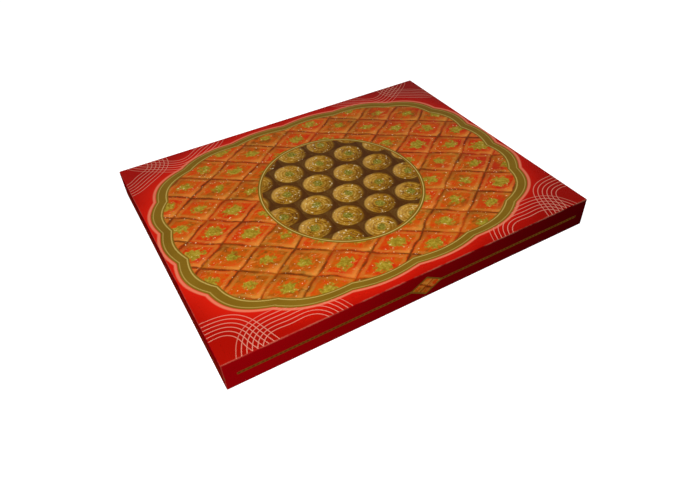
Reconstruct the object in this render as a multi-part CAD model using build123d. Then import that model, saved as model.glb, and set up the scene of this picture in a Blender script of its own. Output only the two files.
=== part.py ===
from build123d import *
import os

# A flat hinged-lid pastry carton with three kinds of baklava packed in rows inside it.
# The origin is the centre of the footprint on the table, +Z is up, and the printed front faces -Y.
# The lid hinges on the crease along the top of the back wall. Everything is in millimetres.

# Driving dimensions of the closed carton
box_length = 400.0
box_width = 320.0
box_height = 33.0
board = 0.6

# How the lid sits over the base
skirt_gap = 0.4
skirt_lift = 1.0
wall_drop = 0.5
tab_length = 20.0
tab_inset = 0.3
tab_slant = 6.0

# Loose paper and dividers inside
paper = 0.15
paper_side_gap = 0.6
leaf_height = 22.0
leaf_end_gap = 2.0
divider_board = 0.8
divider_height = 20.0
divider_gap = 0.6

# Pastry layout: columns run along X, rows along Y
square_columns = 2
square_rows = 7
square_pitch_x = 43.0
roll_columns = 2
roll_rows = 9
roll_length = 66.0
triangle_columns = 3
triangle_rows = 6
pastry_gap = 0.8
pastry_end_gap = 1.0

# Pastry heights and edge rounding
square_height = 19.5
square_corner = 3.0
square_crown = 2.5
roll_height = 20.5
roll_foot = 0.8
triangle_height = 18.0
triangle_corner = 3.0
triangle_crown = 2.2
triangle_cut = 1.2

# Places worked out from the driving dimensions
half_length = box_length / 2
half_width = box_width / 2
lid_under = box_height - board
base_half_length = half_length - 2 * board - skirt_gap
base_front = -(half_width - board - skirt_gap)
base_back = half_width
wall_top = lid_under - wall_drop
inner_half_length = base_half_length - board
inner_front = base_front + board
inner_back = base_back - board
liner_half_length = inner_half_length - board - paper_side_gap
pastry_floor = board + paper
pastry_front = inner_front + paper + pastry_end_gap
pastry_back = inner_back - paper - pastry_end_gap
pastry_run = pastry_back - pastry_front
pastry_left = -liner_half_length + pastry_gap


def slab(x0, x1, y0, y1, z0, z1):
    """A straight-sided board between two opposite corners."""
    size = (x1 - x0, y1 - y0, z1 - z0)
    centre = ((x0 + x1) / 2, (y0 + y1) / 2, (z0 + z1) / 2)
    return Pos(*centre) * Box(*size)


def glue_tab(x0, x1, y_fold, reach, z0, z1):
    """A corner tab that folds at y_fold and reaches along Y, with both free corners slanted."""
    tip = y_fold + reach
    slant = tab_slant
    outline = Polyline(
        (y_fold, z0), (tip, z0 + slant), (tip, z1 - slant), (y_fold, z1), close=True
    )
    face = make_face(Plane.YZ * outline)
    return Pos(x0, 0, 0) * extrude(face, amount=x1 - x0, dir=(1, 0, 0))


def base_panels():
    """The bottom and the four upright walls of the base."""
    length, low, top = base_half_length, board, wall_top
    return {
        "base_bottom": slab(-length, length, base_front, base_back, 0, board),
        "base_front_wall": slab(-length, length, base_front, inner_front, low, top),
        "base_back_wall": slab(-length, length, inner_back, base_back, low, lid_under),
        "base_left_wall": slab(-length, -inner_half_length, inner_front, inner_back, low, top),
        "base_right_wall": slab(inner_half_length, length, inner_front, inner_back, low, top),
    }


def base_corner_tabs():
    """Four glue tabs of the base, flat against the inside of its end walls."""
    low, top = board + tab_inset, wall_top - tab_inset
    outer, inner = inner_half_length, inner_half_length - board
    tabs = []
    for x0, x1 in ((-outer, -inner), (inner, outer)):
        tabs.append(glue_tab(x0, x1, inner_front, tab_length, low, top))
        tabs.append(glue_tab(x0, x1, inner_back, -tab_length, low, top))
    return Compound(tabs)


def lid_panels():
    """The lid's top and its three full-depth skirts, which close outside the base."""
    side = half_length - board
    front = -(half_width - board)
    low = skirt_lift
    return {
        "lid_top": slab(-half_length, half_length, -half_width, half_width, lid_under, box_height),
        "lid_front_skirt": slab(-half_length, half_length, -half_width, front, low, lid_under),
        "lid_left_skirt": slab(-half_length, -side, front, half_width, low, lid_under),
        "lid_right_skirt": slab(side, half_length, front, half_width, low, lid_under),
    }


def lid_corner_tabs():
    """Two glue tabs of the lid, folded from the front skirt inside the side skirts."""
    low, top = skirt_lift + tab_inset, lid_under - tab_inset
    outer = half_length - board
    inner = outer - board
    front = -(half_width - board)
    left = glue_tab(-outer, -inner, front, tab_length, low, top)
    right = glue_tab(inner, outer, front, tab_length, low, top)
    return Compound([left, right])


def liner():
    """Greaseproof paper: a sheet on the floor and a leaf up each long wall."""
    length = liner_half_length
    leaf = length - leaf_end_gap
    low, top = board + paper, board + leaf_height
    return {
        "liner_floor": slab(-length, length, inner_front, inner_back, board, board + paper),
        "liner_front_leaf": slab(-leaf, leaf, inner_front, inner_front + paper, low, top),
        "liner_back_leaf": slab(-leaf, leaf, inner_back - paper, inner_back, low, top),
    }


def divider(x):
    """One upright card strip between two columns of pastry, its left face at x."""
    top = pastry_floor + divider_height
    return slab(x, x + divider_board, pastry_front, pastry_back, pastry_floor, top)


def row_span(row, rows):
    """Front and back of one pastry in a column of so many rows."""
    pitch = pastry_run / rows
    front = pastry_front + row * pitch + pastry_gap / 2
    return front, front + pitch - pastry_gap


def square_piece(x, row):
    """One square-cut baklava with rounded corners and a softened top edge."""
    y0, y1 = row_span(row, square_rows)
    x1 = x + square_pitch_x - pastry_gap
    body = slab(x, x1, y0, y1, pastry_floor, pastry_floor + square_height)
    body = fillet(body.edges().filter_by(Axis.Z), square_corner)
    return fillet(body.faces().sort_by(Axis.Z)[-1].edges(), square_crown)


def roll_piece(x, row):
    """One rolled baklava lying along X: an arched section on a flat foot, cut square at both ends."""
    y0, y1 = row_span(row, roll_rows)
    half = (y1 - y0) / 2
    foot = half * roll_foot
    shoulder = roll_height * 0.46
    flank = Spline((foot, 0), (half, shoulder), tangents=[(0.55, 1), (0, 1)])
    crown = Spline((half, shoulder), (0, roll_height), tangents=[(0, 1), (-1, 0)])
    right = [flank, crown]
    left = [mirror(edge, about=Plane.YZ) for edge in right]
    face = make_face(Plane.YZ * Curve([Line((-foot, 0), (foot, 0)), *right, *left]))
    length = roll_length - pastry_gap
    return Pos(x, (y0 + y1) / 2, pastry_floor) * extrude(face, amount=length, dir=(1, 0, 0))


def triangle_pair(x, pitch, row):
    """Two triangular pieces from one cut square, split along its diagonal."""
    y0, y1 = row_span(row, triangle_rows)
    x1 = x + pitch - pastry_gap
    cut = triangle_cut
    corners = (
        ((x, y0), (x1 - cut, y0), (x, y1 - cut)),
        ((x1, y1), (x + cut, y1), (x1, y0 + cut)),
    )
    pieces = []
    for points in corners:
        face = make_face(Polyline(*points, close=True))
        body = Pos(0, 0, pastry_floor) * extrude(face, amount=triangle_height, dir=(0, 0, 1))
        body = fillet(body.edges().filter_by(Axis.Z), triangle_corner)
        pieces.append(fillet(body.faces().sort_by(Axis.Z)[-1].edges(), triangle_crown))
    return pieces


def pastry_rows():
    """Every pastry, row by row, with the dividers between the columns."""
    nodes = {}
    left = pastry_left
    for row in range(square_rows):
        pieces = [square_piece(left + column * square_pitch_x, row) for column in range(square_columns)]
        nodes[f"square_row_{row + 1}"] = Compound(pieces)
    x = left + square_columns * square_pitch_x - pastry_gap + divider_gap
    roll_starts = []
    for column in range(roll_columns):
        nodes[f"divider_{column + 1}"] = divider(x)
        x += divider_board + divider_gap
        roll_starts.append(x)
        x += roll_length - pastry_gap + divider_gap
    nodes[f"divider_{roll_columns + 1}"] = divider(x)
    x += divider_board + divider_gap
    for row in range(roll_rows):
        nodes[f"roll_row_{row + 1}"] = Compound([roll_piece(start, row) for start in roll_starts])
    pitch = (liner_half_length - x) / triangle_columns
    for row in range(triangle_rows):
        pieces = []
        for column in range(triangle_columns):
            pieces += triangle_pair(x + column * pitch, pitch, row)
        nodes[f"triangle_row_{row + 1}"] = Compound(pieces)
    return nodes


def build():
    """Every named piece of the carton and its contents."""
    nodes = base_panels()
    nodes["base_corner_tabs"] = base_corner_tabs()
    nodes.update(liner())
    nodes.update(pastry_rows())
    nodes.update(lid_panels())
    nodes["lid_corner_tabs"] = lid_corner_tabs()
    return nodes


os.makedirs("parts", exist_ok=True)
for name, shape in build().items():
    export_step(shape, f"parts/{name}.step")
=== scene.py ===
import logging
import math
from collections.abc import Callable, Sequence
from dataclasses import dataclass, field
from enum import Enum
from functools import reduce
from itertools import combinations, product

import bpy
import numpy as np
from mathutils import Matrix, Vector


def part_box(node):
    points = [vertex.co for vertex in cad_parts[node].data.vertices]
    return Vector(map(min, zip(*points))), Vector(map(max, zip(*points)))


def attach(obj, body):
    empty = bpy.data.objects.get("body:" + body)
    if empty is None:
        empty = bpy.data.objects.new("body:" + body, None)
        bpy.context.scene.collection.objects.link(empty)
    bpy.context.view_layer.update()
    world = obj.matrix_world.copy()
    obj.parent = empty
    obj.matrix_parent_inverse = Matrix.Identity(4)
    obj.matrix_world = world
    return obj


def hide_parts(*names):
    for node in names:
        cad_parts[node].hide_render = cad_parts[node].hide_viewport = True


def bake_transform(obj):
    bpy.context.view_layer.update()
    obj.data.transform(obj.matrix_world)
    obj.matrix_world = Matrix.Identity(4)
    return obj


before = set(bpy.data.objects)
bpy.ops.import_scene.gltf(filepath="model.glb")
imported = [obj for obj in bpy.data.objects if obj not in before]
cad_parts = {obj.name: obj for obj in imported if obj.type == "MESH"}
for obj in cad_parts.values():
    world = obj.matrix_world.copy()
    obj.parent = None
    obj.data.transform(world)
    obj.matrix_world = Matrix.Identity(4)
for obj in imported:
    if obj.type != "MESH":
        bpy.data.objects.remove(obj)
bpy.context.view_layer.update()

# A shallow pastry carton of thin printed card with a hinged full-depth lid, packed with three
# kinds of baklava. Lengths are in millimetres until a mesh is written, which is in metres. Only the
# camera and the lights are placed in metres.

LOG = logging.getLogger("carton")
MM = 0.001
LEAVES_PER_MM = 0.78
Array = np.ndarray
Piece = bpy.types.Object
Material = bpy.types.Material
Tree = bpy.types.NodeTree
Socket = bpy.types.NodeSocket
Colour = Sequence[float]


def linear(colour: Colour) -> tuple[float, float, float, float]:
    """A colour as a shader takes it.

    Args:
        colour: Red, green and blue as read from a screen, from 0 to 255.

    Returns:
        The linear colour with full alpha.
    """
    parts = [((part / 255 + 0.055) / 1.055) ** 2.4 if part > 10 else part / 255 / 12.92 for part in colour]
    return (*parts, 1.0)


# Surfaces worked out with numpy


def lattice_noise(points: Array, cell: float, seed: int) -> Array:
    """Smooth noise from -1 to 1: hashed values at cubic lattice corners, blended by smoothstep weights.

    Args:
        points: Places in millimetres, with three numbers in the last axis.
        cell: Lattice spacing in millimetres.
        seed: Picks one of many patterns.

    Returns:
        One value for each place.
    """
    scaled = points / cell
    corner = np.floor(scaled).astype(np.int64)
    part = scaled - corner
    part = part * part * (3 - 2 * part)
    total = np.zeros(points.shape[:-1])
    for index in range(8):
        offset = np.array([index & 1, (index >> 1) & 1, (index >> 2) & 1])
        key = (corner + offset) @ np.array([374761393, 668265263, 2147483647]) + seed * 974634777
        key = (key ^ (key >> 13)) * 1274126177
        value = ((key ^ (key >> 16)) & 0xFFFF) / 32767.5 - 1
        total += np.prod(np.where(offset == 1, part, 1 - part), axis=-1) * value
    return total


def grid_quads(rows: int, columns: int, wrap: bool = False) -> Array:
    """Quads of a grid of points numbered row by row.

    Args:
        rows: Points along the first direction.
        columns: Points along the second direction.
        wrap: Whether the second direction closes on itself.

    Returns:
        An array of four point numbers for each quad.
    """
    row = np.arange(rows - 1)[:, None]
    column = np.arange(columns if wrap else columns - 1)[None, :]
    following = (column + 1) % columns
    first, second = row * columns + column, row * columns + following
    third, fourth = (row + 1) * columns + following, (row + 1) * columns + column
    return np.stack([first, second, third, fourth], axis=-1).reshape(-1, 4)


@dataclass
class Surface:
    """Points with quads and triangles between them, in millimetres. The slots are the quads' material
    numbers, which are 0 where none are given, as they are for triangles."""

    points: Array
    quads: Array
    triangles: Array = field(default_factory=lambda: np.zeros((0, 3), int))
    slots: Array | None = None

    @staticmethod
    def joined(parts: Sequence["Surface"]) -> "Surface":
        """Several surfaces of one material as one, with no points merged.

        Args:
            parts: The surfaces.

        Returns:
            All of them as one.
        """
        starts = np.cumsum([0] + [len(part.points) for part in parts[:-1]])
        return Surface(
            np.concatenate([part.points for part in parts]),
            np.concatenate([part.quads + start for part, start in zip(parts, starts)]),
            np.concatenate([part.triangles + start for part, start in zip(parts, starts)]),
        )

    def make(self, name: str, materials: Sequence[Material], smooth: float = 40.0) -> Piece:
        """Writes the surface into a new object at the origin, in metres.

        Args:
            name: The piece's name.
            materials: One material for each slot number in use.
            smooth: Edges that turn by fewer degrees than this are shaded smooth.

        Returns:
            The new object.
        """
        mesh = bpy.data.meshes.new(name)
        corners = np.concatenate([self.quads.ravel(), self.triangles.ravel()]).astype(np.int32)
        quads, triangles = len(self.quads), len(self.triangles)
        starts = np.concatenate([np.arange(quads) * 4, quads * 4 + np.arange(triangles) * 3])
        mesh.vertices.add(len(self.points))
        mesh.vertices.foreach_set("co", (self.points * MM).astype(np.float32).ravel())
        mesh.loops.add(len(corners))
        mesh.loops.foreach_set("vertex_index", corners)
        mesh.polygons.add(quads + triangles)
        mesh.polygons.foreach_set("loop_start", starts.astype(np.int32))
        slots = np.zeros(quads + triangles, np.int32)
        slots[:quads] = 0 if self.slots is None else self.slots
        mesh.polygons.foreach_set("material_index", slots)
        mesh.update(calc_edges=True)
        mesh.validate()
        mesh.polygons.foreach_set("use_smooth", np.ones(len(mesh.polygons), bool))
        mesh.set_sharp_from_angle(angle=math.radians(smooth))
        for material in materials:
            mesh.materials.append(material)
        piece = bpy.data.objects.new(name, mesh)
        bpy.context.scene.collection.objects.link(piece)
        return piece


def thick_sheet(outer: Array, inner: Array, quads: Array, slots: Sequence[int]) -> Surface:
    """A sheet with two skins, closed along every free edge by a strip as wide as the board.

    Args:
        outer: Points of the outer skin.
        inner: The matching points of the inner skin.
        quads: Quads of the outer skin, facing out.
        slots: Material numbers of the outer skin, the inner skin and the cut edge.

    Returns:
        The closed sheet.
    """
    count = len(outer)
    edges = np.concatenate([quads[:, [i, (i + 1) % 4]] for i in range(4)])
    forward = edges[:, 0] * count + edges[:, 1]
    backward = edges[:, 1] * count + edges[:, 0]
    free = edges[~np.isin(forward, backward)]
    rim = np.stack([free[:, 1], free[:, 0], free[:, 0] + count, free[:, 1] + count], axis=-1)
    back = quads[:, ::-1] + count
    numbers = np.repeat(slots, [len(quads), len(back), len(rim)])
    return Surface(np.concatenate([outer, inner]), np.concatenate([quads, back, rim]), slots=numbers)


class Side(Enum):
    """The faces of a box, as the axis that they lie across and the end that they are at."""

    LEFT = (0, 0)
    RIGHT = (0, 1)
    FRONT = (1, 0)
    BACK = (1, 1)
    BOTTOM = (2, 0)
    TOP = (2, 1)


@dataclass
class FoldedCard:
    """One sheet of card folded over rounded creases into some of the faces of a box."""

    low: tuple[float, float, float]
    high: tuple[float, float, float]
    sides: tuple[Side, ...]
    board: float
    crease: float
    pitch: float = 8.0

    def stations(self, axis: int) -> Array:
        """Places of the grid lines along an axis: close together over the creases, even between them.

        Args:
            axis: The axis, from 0 to 2.

        Returns:
            The places in rising order.
        """
        low, high = self.low[axis], self.high[axis]
        near = self.crease * np.array([0.0, 0.4, 0.75, 1.0])
        count = max(2, round((high - low - 2 * self.crease) / self.pitch) + 1)
        middle = np.linspace(low + self.crease, high - self.crease, count)
        return np.unique(np.round(np.concatenate([low + near, middle, high - near]), 6))

    def face_grid(self, side: Side) -> tuple[Array, Array]:
        """One face of the flat box.

        Args:
            side: Which face.

        Returns:
            Its points, and its quads facing out.
        """
        axis, end = side.value
        first, second = [other for other in range(3) if other != axis]
        across, along = np.meshgrid(self.stations(first), self.stations(second), indexing="ij")
        points = np.zeros((*across.shape, 3))
        points[..., first] = across
        points[..., second] = along
        points[..., axis] = (self.low, self.high)[end][axis]
        quads = grid_quads(*across.shape)
        points = points.reshape(-1, 3)
        corner, second_corner, last_corner = (points[quads[0, number]] for number in (0, 1, 3))
        normal = np.cross(second_corner - corner, last_corner - corner)
        if (normal[axis] > 0) != (end == 1):
            quads = quads[:, ::-1]
        return points, quads

    def sheet(self, warp: Callable[[Array], Array]) -> Surface:
        """The folded sheet. A flat box's point moves to the round of the crease radius about the nearest
        point of a smaller box inside it, and the inner skin takes the same round less the board's thickness.

        Args:
            warp: Moves both skins' points a little, as handling does.

        Returns:
            The closed surface: slot 0 outside, 1 inside, 2 at cut edges.
        """
        grids = [self.face_grid(side) for side in self.sides]
        starts = np.cumsum([0] + [len(points) for points, _ in grids[:-1]])
        flat = np.concatenate([points for points, _ in grids])
        quads = np.concatenate([quads + start for (_, quads), start in zip(grids, starts)])
        flat, merged = np.unique(np.round(flat, 5), axis=0, return_inverse=True)
        quads = merged.reshape(-1)[quads]
        folded = {side.value for side in self.sides}
        core_low = [self.low[a] + self.crease * ((a, 0) in folded) for a in range(3)]
        core_high = [self.high[a] - self.crease * ((a, 1) in folded) for a in range(3)]
        core = np.clip(flat, core_low, core_high)
        out = flat - core
        out /= np.linalg.norm(out, axis=1, keepdims=True)
        outer, inner = core + out * self.crease, core + out * (self.crease - self.board)
        return thick_sheet(warp(outer), warp(inner), quads, (0, 1, 2))


# Node trees


class Value:
    """What a node puts out. Each step of arithmetic on it adds one node."""

    def __init__(self, graph: "Graph", socket: Socket) -> None:
        """Takes the socket and the graph that it is in."""
        self.graph = graph
        self.socket = socket

    def __add__(self, other: "Number") -> "Value":
        """The sum."""
        return self.graph.maths("ADD", self, other)

    def __radd__(self, other: float) -> "Value":
        """The sum, where a plain number comes first."""
        return self.graph.maths("ADD", other, self)

    def __sub__(self, other: "Number") -> "Value":
        """The difference."""
        return self.graph.maths("SUBTRACT", self, other)

    def __rsub__(self, other: float) -> "Value":
        """The difference, where a plain number comes first."""
        return self.graph.maths("SUBTRACT", other, self)

    def __mul__(self, other: "Number") -> "Value":
        """The product."""
        return self.graph.maths("MULTIPLY", self, other)

    def __truediv__(self, other: "Number") -> "Value":
        """The quotient."""
        return self.graph.maths("DIVIDE", self, other)

    def __pow__(self, power: float) -> "Value":
        """The value raised to a power."""
        return self.graph.maths("POWER", self, power)

    def __abs__(self) -> "Value":
        """The value without its sign."""
        return self.graph.maths("ABSOLUTE", self)

    def fraction(self) -> "Value":
        """How far the value is above the whole number below it."""
        return self.graph.maths("FRACT", self)

    def floor(self) -> "Value":
        """The whole number below."""
        return self.graph.maths("FLOOR", self)

    def sine(self) -> "Value":
        """The sine of an angle."""
        return self.graph.maths("SINE", self)

    def cosine(self) -> "Value":
        """The cosine of an angle."""
        return self.graph.maths("COSINE", self)

    def step(self, low: float, high: float) -> "Value":
        """A soft step, by smoothstep.

        Args:
            low: Where it is 0. A low above high makes the step fall.
            high: Where it is 1.

        Returns:
            The step, from 0 to 1.
        """
        ends = (high, low, 1.0, 0.0) if low > high else (low, high, 0.0, 1.0)
        inputs = dict(enumerate((self, *ends)))
        return self.graph.value("ShaderNodeMapRange", inputs, interpolation_type="SMOOTHSTEP")

    def line(self, centre: float, half: float, soft: float) -> "Value":
        """1 where the value is within half of the centre, with soft sides."""
        return abs(self - centre).step(half + soft, half)


Number = Value | float
Tint = Value | Colour
Inputs = dict[str | int, Number | Tint]


class Graph:
    """A shader node tree being filled."""

    def __init__(self, tree: Tree) -> None:
        """Takes the tree to fill."""
        self.tree = tree

    def feed(self, socket: Socket, value: Number | Tint) -> None:
        """Links a socket to what a node puts out, or sets the socket's own value.

        Args:
            socket: The input to feed.
            value: What it gets.
        """
        if isinstance(value, Value):
            self.tree.links.new(value.socket, socket)
        else:
            socket.default_value = value

    def node(self, kind: str, inputs: Inputs, **settings: object) -> bpy.types.Node:
        """Adds a node.

        Args:
            kind: The node's kind.
            inputs: What its inputs get, by name or by number.
            settings: Its own settings, which are made first.

        Returns:
            The node.
        """
        made = self.tree.nodes.new(kind)
        for name, setting in settings.items():
            setattr(made, name, setting)
        for name, value in inputs.items():
            self.feed(made.inputs[name], value)
        return made

    def value(self, kind: str, inputs: Inputs, output: str | int = 0, **settings: object) -> Value:
        """One output of a new node."""
        return Value(self, self.node(kind, inputs, **settings).outputs[output])

    def maths(self, operation: str, *values: Number) -> Value:
        """One step of arithmetic."""
        return self.value("ShaderNodeMath", dict(enumerate(values)), operation=operation)

    def most(self, first: Number, second: Number) -> Value:
        """The larger of two values."""
        return self.maths("MAXIMUM", first, second)

    def least(self, first: Number, second: Number) -> Value:
        """The smaller of two values."""
        return self.maths("MINIMUM", first, second)

    def angle(self, along: Value, across: Value) -> Value:
        """The angle whose tangent is along over across, round the whole turn."""
        return self.maths("ARCTAN2", along, across)

    def length(self, first: Value, second: Value) -> Value:
        """The square root of the sum of two squares."""
        return self.maths("SQRT", first * first + second * second)

    def blend(self, share: Number, first: Tint, second: Tint) -> Value:
        """A mix of two colours.

        Args:
            share: How much of it is the second colour.
            first: A node's colour, or one as read from a screen.
            second: The same for the other.

        Returns:
            The mix.
        """
        tints = [tint if isinstance(tint, Value) else linear(tint) for tint in (first, second)]
        return self.value("ShaderNodeMix", {0: share, 6: tints[0], 7: tints[1]}, 2, data_type="RGBA")

    def split(self, vector: Value) -> list[Value]:
        """The three parts of a vector."""
        made = self.node("ShaderNodeSeparateXYZ", {0: vector})
        return [Value(self, output) for output in made.outputs]

    def join(self, *parts: Number) -> Value:
        """A vector of up to three parts, in which a missing part is 0."""
        return self.value("ShaderNodeCombineXYZ", dict(enumerate(parts)))

    def stretch(self, vector: Value, factors: tuple[float, float, float]) -> Value:
        """A vector with each part times its own factor."""
        return self.value("ShaderNodeMapping", {"Vector": vector, "Scale": factors})

    def noise(
        self, vector: Value, size: float, detail: int = 2, rough: float = 0.5, warp: float = 0.0
    ) -> Value:
        """Cloudy noise about 0.5.

        Args:
            vector: Where it is.
            size: How large its lumps are, in the vector's unit.
            detail: How many times finer lumps are laid over them.
            rough: How strong the finer lumps are.
            warp: How far it is pulled about.

        Returns:
            The noise.
        """
        lumps = {"Scale": 1 / size, "Detail": detail, "Roughness": rough, "Distortion": warp}
        return self.value("ShaderNodeTexNoise", {"Vector": vector, **lumps}, noise_dimensions="3D")

    def cells(self, vector: Value, size: float, feature: str = "F1") -> Value:
        """The distance to the nearest cell's centre, or with another feature to its edge."""
        return self.value("ShaderNodeTexVoronoi", {"Vector": vector, "Scale": 1 / size}, feature=feature)

    def chance(self, vector: Value) -> Value:
        """One random number for each vector."""
        return self.value("ShaderNodeTexWhiteNoise", {"Vector": vector}, "Value", noise_dimensions="3D")

    def ramp(self, value: Value, stops: Sequence[tuple[float, Colour]]) -> Value:
        """A colour for each value.

        Args:
            value: What picks the colour.
            stops: Places from 0 to 1 in rising order, each with its colour as read from a screen.

        Returns:
            The colour, blended between the stops.
        """
        made = self.node("ShaderNodeValToRGB", {0: value})
        while len(made.color_ramp.elements) < len(stops):
            made.color_ramp.elements.new(0.5)
        for element, (place, colour) in zip(made.color_ramp.elements, stops):
            element.position = place
            element.color = linear(colour)
        return Value(self, made.outputs[0])

    def bump(self, height: Value, strength: float, depth: float) -> Value:
        """A normal from a height, with the depth of one unit of it in millimetres."""
        return self.value("ShaderNodeBump", {"Strength": strength, "Distance": depth * MM, "Height": height})

    def coordinates(self, kind: str) -> Value:
        """The piece's own coordinates in metres, or with another kind its own normal."""
        return self.value("ShaderNodeTexCoord", {}, kind)

    def use(self, group: Tree, **inputs: Number | Tint) -> dict[str, Value]:
        """Places a shared group with its inputs fed, and gives what it puts out by name."""
        made = self.node("ShaderNodeGroup", inputs, node_tree=group)
        return {output.name: Value(self, output) for output in made.outputs}

    def put_out(self, **outputs: Value) -> Tree:
        """Feeds what this group puts out, by name, and gives its tree."""
        self.node("NodeGroupOutput", outputs)
        return self.tree


def shared_group(name: str, outputs: Sequence[str], numbers: Sequence[str] = ()) -> tuple[Graph, list[Value]]:
    """A new shader node group that takes a place in millimetres.

    Args:
        name: The group's name.
        outputs: What it puts out: one called Color is a colour, and the others are numbers.
        numbers: The numbers that it takes besides the place.

    Returns:
        The graph inside it, and its inputs in order.
    """
    tree = bpy.data.node_groups.new(name, "ShaderNodeTree")
    tree.interface.new_socket("Place", in_out="INPUT", socket_type="NodeSocketVector")
    for number in numbers:
        tree.interface.new_socket(number, in_out="INPUT", socket_type="NodeSocketFloat")
    for output in outputs:
        kind = "Color" if output == "Color" else "Float"
        tree.interface.new_socket(output, in_out="OUTPUT", socket_type=f"NodeSocket{kind}")
    graph = Graph(tree)
    start = graph.node("NodeGroupInput", {})
    return graph, [Value(graph, start.outputs[given]) for given in ("Place", *numbers)]


class Effects:
    """The effects that several finishes share, each built once as a node group."""

    def __init__(self) -> None:
        """Builds every group."""
        self.fibre = self.card_fibre()
        self.wear = self.crease_wear()
        self.leaves = self.filo_leaves()
        self.syrup = self.syrup_film()
        self.diamonds = self.diamond_tray()
        self.nests = self.nest_tray()

    def card_fibre(self) -> Tree:
        """Pulp in uncoated card: a cloudy shade, dark flecks and a fine felt of fibres.

        Returns:
            The group.
        """
        graph, (place,) = shared_group("card_fibre", ["Shade", "Flecks", "Height"])
        cloud = graph.noise(place, 60, 2)
        felt = graph.noise(graph.stretch(place, (0.35, 1.0, 1.0)), 0.9, 4, 0.65)
        cross = graph.noise(graph.stretch(place, (1.0, 0.35, 1.0)), 1.1, 3, 0.6)
        flecks = graph.cells(place, 5.5).step(0.075, 0.03)
        return graph.put_out(Shade=cloud * 0.4 + felt * 0.6, Flecks=flecks, Height=felt + cross)

    def crease_wear(self) -> Tree:
        """Rubbed ink: a mask that follows a crease, broken into dashes and nicks by noise. It takes the
        distance to the crease, and the width that the wear has about it.

        Returns:
            The group.
        """
        graph, (place, distance, width) = shared_group("crease_wear", ["Mask"], ["Distance", "Width"])
        ragged = (graph.noise(place, 3.2, 4, 0.7) - 0.5) * 1.6
        near = distance / width - ragged
        patches = graph.noise(place, 26, 3, 0.6).step(0.36, 0.56)
        return graph.put_out(Mask=near.step(1.0, 0.35) * patches)

    def filo_leaves(self) -> Tree:
        """Baked leaves: flakes of uneven brown and the pale torn edges of single sheets on top, and thin
        layers stacked up the cut sides.

        Returns:
            The group.
        """
        graph, (place,) = shared_group("filo_leaves", ["Bake", "Torn", "Layers", "Height"])
        flakes = graph.noise(graph.stretch(place, (0.5, 1.0, 1.0)), 4.5, 6, 0.66, 0.9)
        patches = graph.noise(place, 14, 2)
        sheets = (graph.noise(place, 11, 3, 0.55) * 7.0).fraction()
        torn = sheets.step(0.2, 0.0) * graph.noise(place, 9, 2).step(0.42, 0.56)
        _, _, up = graph.split(place)
        wobble = graph.noise(place, 9, 3) * 3.4
        layers = ((up + wobble) * LEAVES_PER_MM).fraction()
        stack = layers.step(0.0, 0.35) * layers.step(1.0, 0.6)
        height = flakes + graph.noise(place, 1.3, 3, 0.6) * 0.5 - sheets * 0.45
        return graph.put_out(Bake=flakes * 0.62 + patches * 0.38, Torn=torn, Layers=stack, Height=height)

    def syrup_film(self) -> Tree:
        """Syrup: how wet the surface is, and how rough that leaves it.

        Returns:
            The group.
        """
        graph, (place,) = shared_group("syrup_film", ["Wet", "Roughness"])
        wet = graph.noise(place, 7.5, 3, 0.55).step(0.36, 0.6)
        return graph.put_out(Wet=wet, Roughness=0.52 - wet * 0.34)

    def diamond_tray(self) -> Tree:
        """A printed tray of diamond-cut pastry: two sets of slanting cuts, a flaky orange top in each
        cell, a pile of green nuts at its middle and small glints of syrup.

        Returns:
            The group.
        """
        graph, (place,) = shared_group("diamond_tray", ["Color"])
        x, y, _ = graph.split(place)
        drift = graph.noise(place, 26, 2)
        x_cut = x + (drift - 0.5) * 9.0
        y_cut = y + (graph.noise(place, 31, 2) - 0.5) * 7.0
        cell_x, cell_y = 58, 44
        rising = x_cut / cell_x + y_cut / cell_y
        falling = x_cut / cell_x - y_cut / cell_y
        inside = [value.fraction() - 0.5 for value in (rising, falling)]
        number = [value.floor() for value in (rising, falling)]
        chance = graph.chance(graph.join(number[0], number[1]))
        reach = graph.most(*[abs(value) for value in inside])
        flakes = graph.noise(graph.stretch(place, (0.6, 1.0, 1.0)), 5.0, 6, 0.66, 1.2)
        patches = graph.noise(place, 13, 3, 0.55)
        tone = flakes * 0.5 + patches * 0.42 + chance * 0.14
        browns = [(0.34, (101, 52, 8)), (0.43, (137, 68, 8)), (0.5, (165, 72, 8))]
        top = graph.ramp(tone, [*browns, (0.57, (173, 54, 6)), (0.68, (163, 33, 5))])
        redder = x.step(20, 190) * graph.noise(place, 24, 2).step(0.46, 0.62)
        top = graph.blend(redder * 0.85, top, (156, 26, 11))
        sheen = graph.noise(graph.stretch(place, (0.5, 1.0, 1.0)), 3.4, 4, 0.6).step(0.56, 0.72)
        top = graph.blend(sheen * 0.42, top, (196, 137, 64))
        from_middle = graph.length(*inside)
        speckle = graph.noise(place, 4.6, 4, 0.6)
        spread = 0.2 + chance * 0.1
        pile = (speckle + (spread - from_middle) * 1.5).step(0.5, 0.66)
        green = graph.ramp(graph.noise(place, 2.6, 3), [(0.35, (103, 95, 15)), (0.6, (140, 130, 39))])
        picture = graph.blend(pile * 0.86, top, green)
        shelf = reach.line(0.4, 0.02, 0.05)
        picture = graph.blend(shelf * 0.3, picture, (160, 122, 49))
        slope = inside[0] - inside[1]
        picture = graph.blend(slope.step(0.3, 0.95) * 0.5, picture, (98, 38, 5))
        picture = graph.blend(slope.step(-0.35, -0.95) * 0.34, picture, (222, 148, 62))
        cut = (reach + (flakes - 0.5) * 0.09).step(0.445, 0.49)
        strength = 0.35 + graph.noise(place, 21, 2).step(0.38, 0.62) * 0.5
        picture = graph.blend(cut * strength, picture, (75, 36, 8))
        glint = graph.noise(place, 2.6, 2, 0.5).step(0.67, 0.74)
        picture = graph.blend(glint * 0.75, picture, (208, 181, 135))
        return graph.put_out(Color=picture)

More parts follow.
